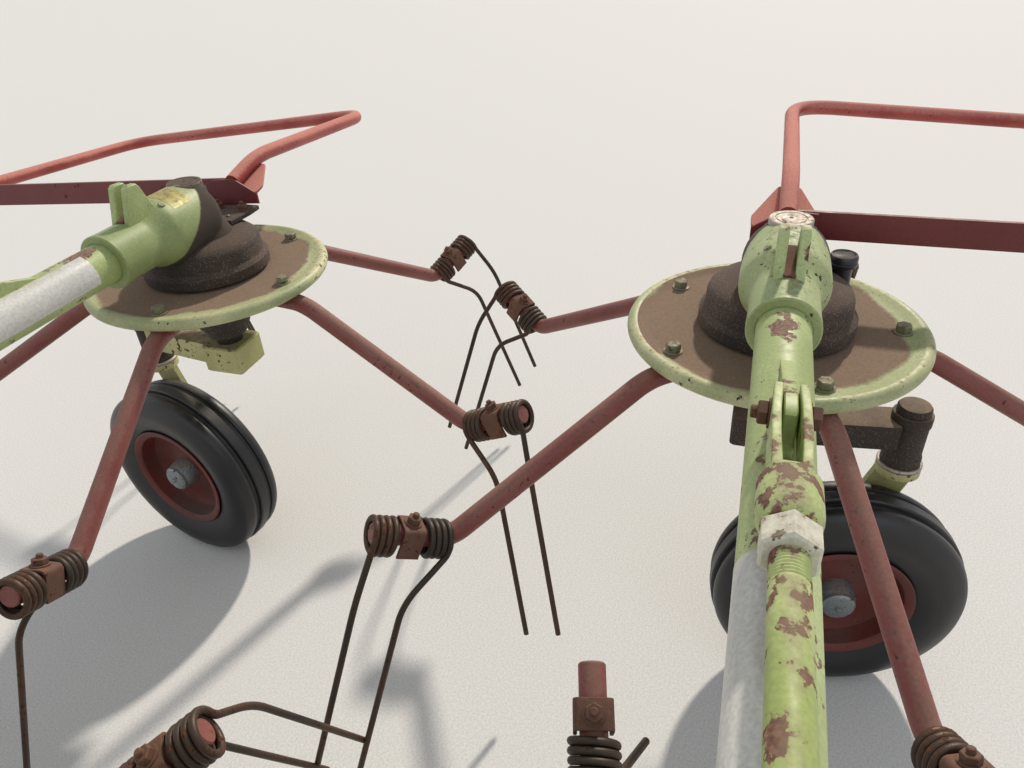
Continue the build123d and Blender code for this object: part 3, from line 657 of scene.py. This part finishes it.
tip = KINK + OUT * END_LENGTH
line = rounded([(u, 0, ARM_Z) for u in ARM_RUN] + [KINK, tip - OUT * 2, tip], (0, 26, 24, 0, 0), 12)
taper = np.ones(len(line))
taper[-1] = 0.88  # the chamfer of the tube's tip
shoe = bar(*((u, 0, ARM_Z + ARM_R - 0.5) for u in SHOE_RUN), *SHOE)
arm = joined(swept(line, circle(ARM_R, 24), scale=taper), shoe)
fold = [(v, h, CLAMP_AT) for v, h in ((-CLAMP_HALF, CLAMP_FOOT), (-CLAMP_HALF, CLAMP_TOP),
                                      (CLAMP_HALF, CLAMP_TOP), (CLAMP_HALF, CLAMP_FOOT))]
clamp_plate = moved(swept(rounded(fold, (0, 8, 8, 0), 7), oblong(*CLAMP_PLATE)), END)
clamp_bolt = moved(bolt(18, 9, 13, 4.5), END @ facing((0, CLAMP_TOP + 2, CLAMP_AT), (0, 1, 0)))
print("an arm reaches", round(float(tip[0])), "mm from the rotor's axis")

# %% Tines
WIRE_R = 4.75
COIL_R = 24.5
COIL_TURNS = 3.75
COIL_SAG = 4
COILS = ((30, 43.5, 8), (100, 86.5, 122))  # its middle, its start at the clamp, and where its leg leaves
LEG_BEND = (51, 57, -63)  # from the coil's middle: outwards, sideways, up
LEG_TIP = (122, 119, -355)
STUB_TIP = (56, 63, -69)


def tine(lean, coil, broken=False, knocked=(0, 0)):
    """one tine: x, y = R cos a, R sin a round the arm while it advances, then a leg with one soft bend;
    knocked turns the leg about its arm and swings it out, in degrees"""
    middle, start, stop = coil
    t = np.linspace(0, 1, 100)
    angle = (0 if lean > 0 else np.pi) + lean * 2 * np.pi * COIL_TURNS * (1 - t)
    x, y = COIL_R * np.cos(angle), COIL_R * np.sin(angle) - COIL_SAG
    helix = np.stack([x, y, start + (stop - start) * t], -1) @ END[:3, :3].T + END[:3, 3]
    centre = KINK + OUT * middle - ABOVE * COIL_SAG
    mirror = np.array((1, lean, 1))
    leave = helix[-1] - ABOVE * 12
    if broken:
        leg = rounded([helix[-1], leave, centre + mirror * STUB_TIP], (0, 10, 0), 6)
    else:
        about, outwards = np.radians(knocked)
        swing = np.array(Matrix.Rotation(-outwards, 3, "Y") @ Matrix.Rotation(about, 3, Vector(OUT)))
        ends = [centre + swing @ (mirror * end) for end in (LEG_BEND, LEG_TIP)]
        leg = rounded([helix[-1], leave, *ends], (0, 11, 30, 0), 9)
    return swept(np.concatenate([helix, leg[1:]]), circle(WIRE_R, 10), up=OUT)


print("a tine has", len(tine(1, COILS[0])[1]), "quads")

# %% Four rotors
ROTORS = (  # name, side, X, first arm's angle, lean of its tines, arms whole (1) or broken (0)
    ("inner_left", 1, INNER_X, 50.5, -1, "11011"),
    ("inner_right", -1, INNER_X, 60.5, 1, "11111"),
    ("outer_left", 1, OUTER_X, 21.7, 1, "11111"),
    ("outer_right", -1, OUTER_X, 9.6, -1, "11111"),
)
KNOCKED = {("outer_left", 4): (-6, 8), ("inner_right", 1): (3, 9)}  # arms whose tines stones have pushed
DISH_BOLT_AT = 177
DISH_BOLT = (19, 11, 14)  # across its flats, its height, and its washer's radius

for name, side, x, phase, lean, whole in ROTORS:
    spot = shift(x, side * ROTOR_HALF)
    body = f"rotor_{name}"
    dish = piece(f"dish_floor_{name}", moved(floor_disc, spot), body, floor_dust, wear=dusted)
    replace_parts(dish, f"dish_{name}")
    piece(f"dish_roll_{name}", moved(roll, spot), body, rim_green)
    arms, plates, bolts, wires, heads = [], [], [], [], []
    for k, mark in enumerate(whole):
        place = spot @ turn(phase + 360 / len(whole) * k)
        arms.append(moved(arm, place))
        plates.append(moved(clamp_plate, place))
        bolts.append(moved(clamp_bolt, place))
        bolt_place = place @ shift(DISH_BOLT_AT, 0, FLOOR_Z) @ turn(17 * k + side * 11)
        heads.append(moved(bolt(*DISH_BOLT), bolt_place))
        for coil in COILS if mark == "1" else COILS[:1]:
            wires.append(moved(tine(lean, coil, mark == "0", KNOCKED.get((name, k), (0, 0))), place))
    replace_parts(piece(f"tine_arms_{name}", joined(*arms), body, arm_red), f"arms_{name}")
    made = piece(f"tine_wires_{name}", joined(*wires), body, spring, sharp=80)
    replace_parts(made, f"tines_{name}")
    piece(f"clamp_plates_{name}", joined(*plates), body, rusty_iron)
    piece(f"clamp_bolts_{name}", joined(*bolts), body, rusty_iron)
    piece(f"dish_bolts_{name}", joined(*heads), body, bolt_grey)
print(len(ROTORS), "rotors")

# %% [markdown]
# ## Columns and levers
# A column comes down through each rotor's middle. Its block holds a lever of channel section, with
# the kingpin's sleeve at the far end. A plain bar could stand for the lever, but its hollow
# underside shows from the side, so the real section is carried along it. Everything is made for
# the right-hand side, and a mirror image of it serves the left.

# %% Columns and levers
BLOCK_Z = 496
BLOCK = (84, 84, 9)  # its sides and its corner
BLOCK_HALF = 28  # half its height
SLEEVE_AT = (28, 225)  # along the arm, and beside it
LEVER_WIDE, LEVER_TALL, LEVER_WALL = 29, 22, 6  # half the channel's width and height, and its wall
COLUMN_LINE = [(0, 458), (22, 458), (25, 461), (25, 560), (26, 562), (26, 574), (25, 576), (25, 655),
               (31, 662), (31, 680), (0, 680)]
SLEEVE_LINE = [(17, 430), (30, 430), (30, 450), (28, 454), (28, 508), (30, 512), (30, 530), (17, 530)]
PIN_LINE = [(0, 530.6), (25, 530.6), (25.4, 532), (25.4, 540), (23, 543.5), (12, 545), (0, 545)]
AXLES = (("inner", INNER_X, -90), ("outer", OUTER_X, 180))  # name, X, and turn of its frame


def half(side, x, turned_by):
    """the matrix of the right-hand frame set at a rotor axis, or of its mirror image on the left"""
    matrix = shift(x, -ROTOR_HALF) @ turn(turned_by)
    if side == "left":
        matrix = np.diag([1, -1, 1, 1]) @ matrix
    return matrix


w, t, inner_w, inner_t = LEVER_WIDE, LEVER_TALL, LEVER_WIDE - LEVER_WALL, LEVER_TALL - LEVER_WALL
channel = rounded([(-w, -t), (-inner_w, -t), (-inner_w, inner_t), (inner_w, inner_t), (inner_w, -t), (w, -t),
                   (w, t), (-w, t)], 1.5, 3, closed=True)
reach = np.hypot(*SLEEVE_AT)
lever = moved(swept([(u, 0, BLOCK_Z) for u in (34, 80, reach - 20)], channel),
              turn(np.degrees(np.arctan2(SLEEVE_AT[1], SLEEVE_AT[0]))))
block = extruded(oblong(*BLOCK), BLOCK_Z - BLOCK_HALF, BLOCK_Z + BLOCK_HALF, 3)
column = turned(COLUMN_LINE, 48)
sleeve = turned(rounded(SLEEVE_LINE, (0, 2, 1, 1, 1, 1, 3, 0), 4), 48, loop=True)
pin_head = turned(PIN_LINE, 40)
for end, x, turned_by in AXLES:
    for side in SIDES:
        place = half(side, x, turned_by)
        body = "frame" if end == "inner" else f"arm_{side}"
        # the left levers lie in the dish's shadow, so they take the dark dirty iron instead of pale green:
        # dirt and painted shade
        slot, finish = ("dark_iron", dark_iron) if side == "left" else ("pale_green_paint", pale_green)
        made = piece(f"lever_{end}_{side}", moved(joined(lever, block), place), body, finish)
        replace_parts(made, f"axle_{end}_{side}")
        piece(f"column_{end}_{side}", moved(column, place), body, dark_iron)
        pin = moved(joined(sleeve, pin_head), place @ shift(*SLEEVE_AT))
        piece(f"sleeve_{end}_{side}", pin, body, dark_iron)
print(len(AXLES) * len(SIDES), "columns with their levers")

# %% [markdown]
# ## Wheels
# Each wheel trails its kingpin on a bent flat fork. The tyre has three ribs, the middle one highest,
# and stands on a pressed disc. Ribs could be a bump in the material, but they show against the
# ground, so half of the tyre's profile is drawn point by point and mirrored.

# %% Tyres, rims and caps
WHEEL_AT = (-63, -77, 205)  # from the kingpin, in the swivelled frame
SWIVEL = {"inner": 0, "outer": -9.4}  # of each pair of wheels, degrees
TYRE_HALF_LINE = [(112, -40), (119, -43.5), (127, -46.5), (142, -52), (157, -56), (170, -56), (180, -52.5),
                  (190, -48), (196.5, -43.5), (199.5, -39), (201.5, -33), (202, -27), (200.5, -23.5),
                  (197, -22), (196, -19.5), (196, -15.5), (197, -13), (203, -11.5), (205, -9), (205, -3)]
RIM_LINE = [(31, -4), (86, -4), (98, -9), (104, -19), (104.5, -43), (108, -46.5), (118, -49), (120.5, -47.6),
            (118, -46), (111.6, -42.5), (111.6, 42.5), (118, 46), (120.5, 47.6), (118, 49), (108, 46.5),
            (104.5, 43), (104, 24), (100, 13), (90, 6.5), (72, 4), (52, 8), (31, 15)]
HUB_LINE = [(0, -42), (29, -42), (31, -40), (31, 38), (28.5, 42), (28, 46), (27.4, 50), (24, 53), (12, 54.5),
            (5.5, 55), (4.6, 59), (3.4, 61), (0, 61.5)]
RING_AT, RING_Z, RING_R = 31.5, 433, 3.2  # the ring where the sleeve meets the fork

tyre_line = TYRE_HALF_LINE + [(r, -z) for r, z in reversed(TYRE_HALF_LINE)]
ribs, rim, hub = turned(tyre_line, 128, loop=True), turned(RIM_LINE, 96, loop=True), turned(HUB_LINE, 48)
ring = turned(arc(RING_AT, RING_Z, RING_R, 0, 330, 12), 48, loop=True)
for end, x, turned_by in AXLES:
    for side in SIDES:
        pin = half(side, x, turned_by) @ shift(*SLEEVE_AT)
        place = pin @ turn(SWIVEL[end]) @ shift(*WHEEL_AT) @ turn(-90, "Y")
        body = f"wheel_{end}_{side}"
        tyre = piece(f"tyre_ribbed_{end}_{side}", moved(ribs, place), body, rubber)
        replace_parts(tyre, f"tyre_{end}_{side}")
        disc = piece(f"disc_{end}_{side}", moved(rim, place), body, wheel_red)
        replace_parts(disc, f"rim_{end}_{side}")
        piece(f"hub_cap_{end}_{side}", moved(hub, place), body, zinc)
        carrier = "frame" if end == "inner" else f"arm_{side}"
        piece(f"kingpin_ring_{end}_{side}", moved(ring, pin), carrier, dull_steel)
print("wheels", 2 * max(r for r, z in tyre_line), "mm high")

# %% [markdown]
# ## Outer gearboxes
# The casting on each outer rotor is a bell crossed by a barrel, on a dome and with two upright ears.
# A Boolean could join bell and barrel, but would leave a knife-sharp corner. Closed shapes that pass
# through each other are remade as one skin instead, fine enough that their corners come out as a
# casting's fillets.

# %% Castings, domes and caps
DOME_LINE = [(0, 681), (112, 681), (112.5, 683), (112, 698), (109, 702), (105, 706), (104, 712), (103, 727),
             (100, 734), (92, 740.5), (80, 744), (66, 746), (0, 746)]
BELL_LINE = [(0, 738), (64, 738), (58, 748), (51, 760), (45, 772), (40, 784), (36.5, 796), (34.5, 808),
             (34, 828), (0, 828)]
BARREL_LINE = [(0, -218), (41, -218), (43.5, -215), (43.5, -138), (46, -128), (54, -112), (58, -104),
               (59, -96), (59, -14), (57.5, 0), (53, 11), (44, 19), (28, 25), (0, 28)]
MOUTH_LINE = [(33.5, -219), (42, -219), (44, -217), (44, -206), (42.5, -204), (33.5, -204)]
CAP_LINE = [(0, 826), (29, 826), (30, 827), (30, 839), (28.8, 840.8), (22, 841), (21.4, 839.6), (20, 839.6),
            (19.4, 841), (3, 841), (2.4, 838.5), (0, 838.5)]
FILLER_AT = (62, 84)
FILLER_LINE = [(0, 700), (15, 700), (15, 748), (19.5, 750), (20.5, 752), (20.5, 756), (19.5, 757), (20.5, 758),
               (20.5, 764), (18.5, 767.5), (16, 768), (15, 766.5), (0, 766.5)]
EAR = [(-166, 812), (-100, 812), (-100, 830), (-118, 872), (-124, 879), (-141, 880), (-147, 876)]
EAR_THICK, EAR_V = 12, 12.5  # thickness, and its middle beside the arm's axis
SCALE_RUN = ((-163, 0, 826), (-104, 0, 842))  # rust that has grown between the ears
PLUG_AT = (60, -24, 745)
SCREW_AT = (-95, 58, 118)  # along the barrel, its radius, and degrees up round it
SKIN_VOXEL = 0.003  # metres

ALONG_X = facing((0, 0, TUBE_Z), (1, 0, 0))  # turned shapes laid along the arm's axis
UPRIGHT = turn(90, "X")  # outlines of (along, height), their thickness across

skin = joined(turned(BELL_LINE, 96), moved(turned(BARREL_LINE, 96), ALONG_X))
ears = [moved(extruded(EAR, v - EAR_THICK / 2, v + EAR_THICK / 2, 1.5), UPRIGHT) for v in (EAR_V, -EAR_V)]
scale = bar(*SCALE_RUN, 2 * EAR_V - EAR_THICK + 1, 6, 1)
along, radius, lean = SCREW_AT
outwards = np.array((0, np.cos(np.radians(lean)), np.sin(np.radians(lean))))
screw = moved(bolt(10, 3), facing(radius * outwards + (along, 0, TUBE_Z), outwards, (1, 0, 0)))
plugs = joined(moved(bolt(15, 6, 12, 3.4), shift(*PLUG_AT)), screw)
for side in SIDES:
    place = half(side, OUTER_X, 180)
    body = f"arm_{side}"
    casting = piece(f"casting_{side}", moved(skin, place), body, casting_green)
    remake = casting.modifiers.new("one_skin", "REMESH")
    remake.mode = "VOXEL"
    remake.voxel_size = SKIN_VOXEL
    remake.use_smooth_shade = True
    soften = casting.modifiers.new("fillets", "SMOOTH")
    soften.iterations = 5
    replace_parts(casting, f"gearbox_outer_{side}")
    piece(f"dome_{side}", moved(turned(DOME_LINE, 120), place), body, dome_dirt)
    finish = dull_steel if side == "left" else dirty_steel
    piece(f"cap_{side}", moved(turned(CAP_LINE, 60), place), body, finish)
    lip = moved(turned(MOUTH_LINE, 72, loop=True), place @ ALONG_X)
    piece(f"mouth_lip_{side}", lip, body, casting_green)
    filler = moved(turned(FILLER_LINE, 48), place @ shift(*FILLER_AT))
    piece(f"filler_{side}", filler, body, black_grease)
    piece(f"ears_{side}", moved(joined(*ears), place), body, green)
    piece(f"ear_scale_{side}", moved(scale, place), body, rusty_iron)
    piece(f"dome_plugs_{side}", moved(plugs, place), body, bolt_grey)
print(len(SIDES), "gearboxes")

# %% [markdown]
# ## Arm tubes
# A tube joins each fold head to its gearbox. On top it carries a ramped rib, which holds the
# limiter. Two bands and a label were stuck on this machine. They could be painted in the material,
# but thin strips bent round the tube keep their straight edges from close by.

# %% Arm tubes with their ribs
TUBE_R = 32
TUBE_RUN = (200, 997)
HEAD = (88, 76, 5)  # width, height and corner
HEAD_RUN = (137, 227)  # the block round the float pin
RIB_LINE = [(650, 811), (825, 811), (700, 850), (692, 853), (668, 853), (663, 850)]
RIB_HALF = 6  # half its thickness
SCAB_AT, SCAB_SIZE = (890, -3), (34, 18)  # rust beside the gearbox: along and across the tube

start, stop = TUBE_RUN
tube_line = [(0, start), (TUBE_R, start)] + [(TUBE_R, u) for u in np.linspace(start + 20, stop - 20, 90)]
tube = moved(turned(tube_line + [(TUBE_R, stop), (0, stop)], 72), ALONG_X)
rib = moved(extruded(RIB_LINE, -RIB_HALF, RIB_HALF, 1.2), UPRIGHT)
head = bar(*((u, 0, TUBE_Z) for u in HEAD_RUN), *HEAD)
shape = joined(tube, rib, head)
x, y, z = shape[0].T
scab = np.exp(-((x - SCAB_AT[0]) / SCAB_SIZE[0]) ** 2 - ((y - SCAB_AT[1]) / SCAB_SIZE[1]) ** 2) * (z > TUBE_Z)
scab += 0.4 * (z > TUBE_Z + 40)  # the rib's top is rubbed too
for side in SIDES:
    place = half(side, INNER_X, 180)
    made = piece(f"tube_{side}", moved(shape, place), f"arm_{side}", green, wear=scab)
    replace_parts(made, f"arm_tube_{side}")
print("tubes", stop - start, "mm long")

# %% Bands and a label
BANDS = {"left": (322, 540, TUBE_R, 100, 205), "right": (560, 892, TUBE_R, 105, 200)}
LABEL = (-84, -40, 59, 75, 135)  # from, to, radius, and the angles round it


def strip(start, stop, radius, first, last, thick=0.35, sunk=0.3):
    """a thin band bent round the tube: an outer arc and, backwards, an inner one, carried along"""
    outer = arc(0, TUBE_Z, radius + thick, first, last, 24)
    section = outer + arc(0, TUBE_Z, radius - sunk, last, first, 24)
    return surface([np.c_[np.full(len(section), u), section] for u in np.linspace(start, stop, 12)])


for side in SIDES:
    band = moved(strip(*BANDS[side]), half(side, INNER_X, 180))
    piece(f"blank_band_{side}", band, f"arm_{side}", vinyl)
piece("blank_label", moved(strip(*LABEL), half("right", OUTER_X, 180)), "arm_right", label)
print(len(BANDS), "blank bands and a blank label")

# %% [markdown]
# ## Limiters
# A limiter keeps each arm from dropping too far: a rod, a lock nut on its thread, a collar, and a
# clevis whose window lets the pin slide. All of it is made upright, along Z from the pin at the fold
# head, and laid down once at the end. A screw thread could be a helix, but rings look the same
# from here.

# %% Limiters
LIMIT_START = np.array((72, 0, 872))
LIMIT_END = np.array((680, 0, 838))  # the clevis pin, through the rib
RUN_LENGTH = np.linalg.norm(LIMIT_END - LIMIT_START)
NECK = RUN_LENGTH - 96  # where the clevis begins
ROD_R = 14
THREAD_AT, THREAD_STEP, THREAD_DEEP, THREAD_ROWS = NECK - 118, 1.6, 0.9, 28
NUT_FLATS = 40
NUT_RUN = (NECK - 90, NECK - 62)
COLLAR_LINE = [(0, NECK - 60), (17, NECK - 60), (21, NECK - 58), (23.5, NECK - 53), (24.5, NECK - 46),
               (24.5, NECK - 10), (0, NECK - 10)]
CHEEK_V, CHEEK_BOW = 11, 1.12  # a cheek's middle beside the axis, and how much wider it bows
CHEEK = (8, 39, 2)  # thickness, height and corner
PIN_V = 15.5  # where the pin's head and nut sit

thread = [(ROD_R - THREAD_DEEP * (k % 2), THREAD_AT + THREAD_STEP * k) for k in range(THREAD_ROWS)]
rod = turned([(0, -16), (ROD_R, -16), (ROD_R, THREAD_AT - 2)] + thread + [(ROD_R, NECK), (0, NECK)], 40)
nut = extruded(hexagon(NUT_FLATS), *NUT_RUN, 2)
collar = turned(COLLAR_LINE, 48)
clevis = [bar((0, 0, NECK - 10), (0, 0, NECK), 30, 40, 2, up=(1, 0, 0))]
for v in (CHEEK_V, -CHEEK_V):
    wide = v * CHEEK_BOW
    bow = [(0, v, NECK - 2), (0, wide, NECK + 36), (0, wide, NECK + 80), (0, v, RUN_LENGTH + 22),
           (0, v, RUN_LENGTH + 24)]
    clevis.append(swept(rounded(bow, (0, 14, 14, 0, 0), 6), oblong(*CHEEK), up=(1, 0, 0)))
heads = [moved(bolt(21, 9, 14, shank), facing((0, v, RUN_LENGTH), (0, v, 0), (1, 0, 0)))
         for v, shank in ((PIN_V, 6), (-PIN_V, 0))]
for side in SIDES:
    place = half(side, INNER_X, 180) @ facing(LIMIT_START, LIMIT_END - LIMIT_START)
    body = f"arm_{side}"
    made = piece(f"limiter_rod_{side}", moved(joined(rod, collar), place), body, green_rusty)
    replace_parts(made, f"limiter_{side}")
    piece(f"clevis_{side}", moved(joined(*clevis), place), body, green_rusty)
    piece(f"lock_nut_{side}", moved(nut, place), body, pale_zinc)
    piece(f"clevis_bolts_{side}", moved(joined(*heads), place), body, rusty_iron)
print("limiters", round(float(RUN_LENGTH)), "mm between their pins")

# %% [markdown]
# ## Guards
# A bent tube and a flat bar keep people away from each outer rotor. They start at a sloping gusset
# plate with a folded lip. The tube is one rounded path with a circle carried along it. The
# machine's right guard has been bent, and one turn about its foot bends tube, bar and gusset.

# %% Guards
GUARD_R = 14
GUARD_LINE = [(126, 0, 799), (214, 0, 828), (690, 0, 830), (720, 770, 785), (128, 770, 785)]
GUARD_SAG = {"left": 0, "right": 6}  # degrees
PIVOT = (128, 0, 806)
BAR_RUN = ((128, 12, 784), (128, 782, 784.5))
BAR = (8, 44, 1.5)  # thickness, height and corner
BASE_LINE = [(40, -44), (96, -48), (126, -46), (126, 32), (100, 40), (40, 40)]
BASE_Z = 756  # its top
BOLTS_AT = ((98, -30), (98, 24))
GUSSET_LINE = [(119, -52), (142, -54), (216, -17), (216, 17), (146, 48), (121, 46)]
PLATE_AT, PLATE_THICK, GUSSET_Z = 119, 5, 775  # where the gusset begins along the arm, and its height there
GUSSET_RISE = 0.34  # of the sloping plate, for each millimetre along the arm
LIP_LINE = [(-52, 758), (44, 758), (44, 804), (-6, 806), (-52, 777)]  # the plate's folded edge: across, height
ACROSS = np.array(((0, 0, 1, 0), (1, 0, 0, 0), (0, 1, 0, 0), (0, 0, 0, 1)))  # lays such an outline across X

loop = swept(rounded(GUARD_LINE, (0, 60, 90, 90, 0), 16), circle(GUARD_R, 28))
fold = moved(extruded(LIP_LINE, PLATE_AT, PLATE_AT + PLATE_THICK, 1), ACROSS)
flat = joined(bar(*BAR_RUN, *BAR), fold)
gusset = extruded(rounded(GUSSET_LINE, 6, 4, closed=True), GUSSET_Z, GUSSET_Z + PLATE_THICK, 1)
gusset[0][:, 2] += GUSSET_RISE * (gusset[0][:, 0] - PLATE_AT)
base = extruded(BASE_LINE, BASE_Z - 9, BASE_Z, 1.5)
fixings = joined(*(moved(bolt(17, 8, 12, 4), shift(u, v, BASE_Z)) for u, v in BOLTS_AT))
for side in SIDES:
    sag = np.array(Matrix.Rotation(np.radians(-GUARD_SAG[side]), 4, Vector((1, -1, 0)).normalized()))
    bend = shift(*PIVOT) @ sag @ shift(*(-k for k in PIVOT))
    place = half(side, OUTER_X, 180)
    body = f"arm_{side}"
    made = piece(f"guard_tube_{side}", moved(loop, place @ bend), body, guard_red)
    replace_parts(made, f"guard_outer_{side}")
    # the bar and its lip are in the darker red of painted shade
    piece(f"guard_bar_{side}", moved(flat, place @ bend), body, bar_red_painted_shade)
    piece(f"guard_gusset_{side}", moved(gusset, place @ bend), body, guard_red)
    # the base plate takes the dark dome finish: dirt and the painted shadow under the gusset
    piece(f"guard_base_{side}", moved(base, place), body, dome_dirt)
    piece(f"guard_bolts_{side}", moved(fixings, place), body, rusty_iron)
print("guards reach", GUARD_LINE[3][1] + GUARD_R, "mm from the arm")

# %% [markdown]
# ## The rest of the machine
# What the photograph doesn't show keeps its CAD form. Each mesh is merged and its sharp edges get a
# small bevel, so that they catch the light as worn steel does.

# %% CAD pieces that stay
STAYING = {
    "green_paint": green, "pale_green_paint": pale_green, "red_paint": guard_red, "dark_iron": dark_iron,
    "bare_steel": dull_steel,
}
REPLACED = ("dish_", "arms_", "tines_", "tyre_", "rim_", "gearbox_outer_", "arm_tube_", "limiter_",
            "guard_outer_", "axle_")

slots = {part["node"]: part["material_slot"] for part in frame["record"]["subparts"]}
staying = [name for name in nodes if not name.startswith(REPLACED)]
for name in staying:
    node = nodes[name]
    node.data.materials.clear()
    node.data.materials.append(STAYING[slots[name]])
    merge = node.modifiers.new("merge", "WELD")
    merge.merge_threshold = 0.00005
    edges = node.modifiers.new("worn_edges", "BEVEL")
    edges.width = 0.0012
    edges.segments = 2
    edges.limit_method = "ANGLE"
    edges.angle_limit = np.radians(40)
print(len(staying), "CAD nodes stay")
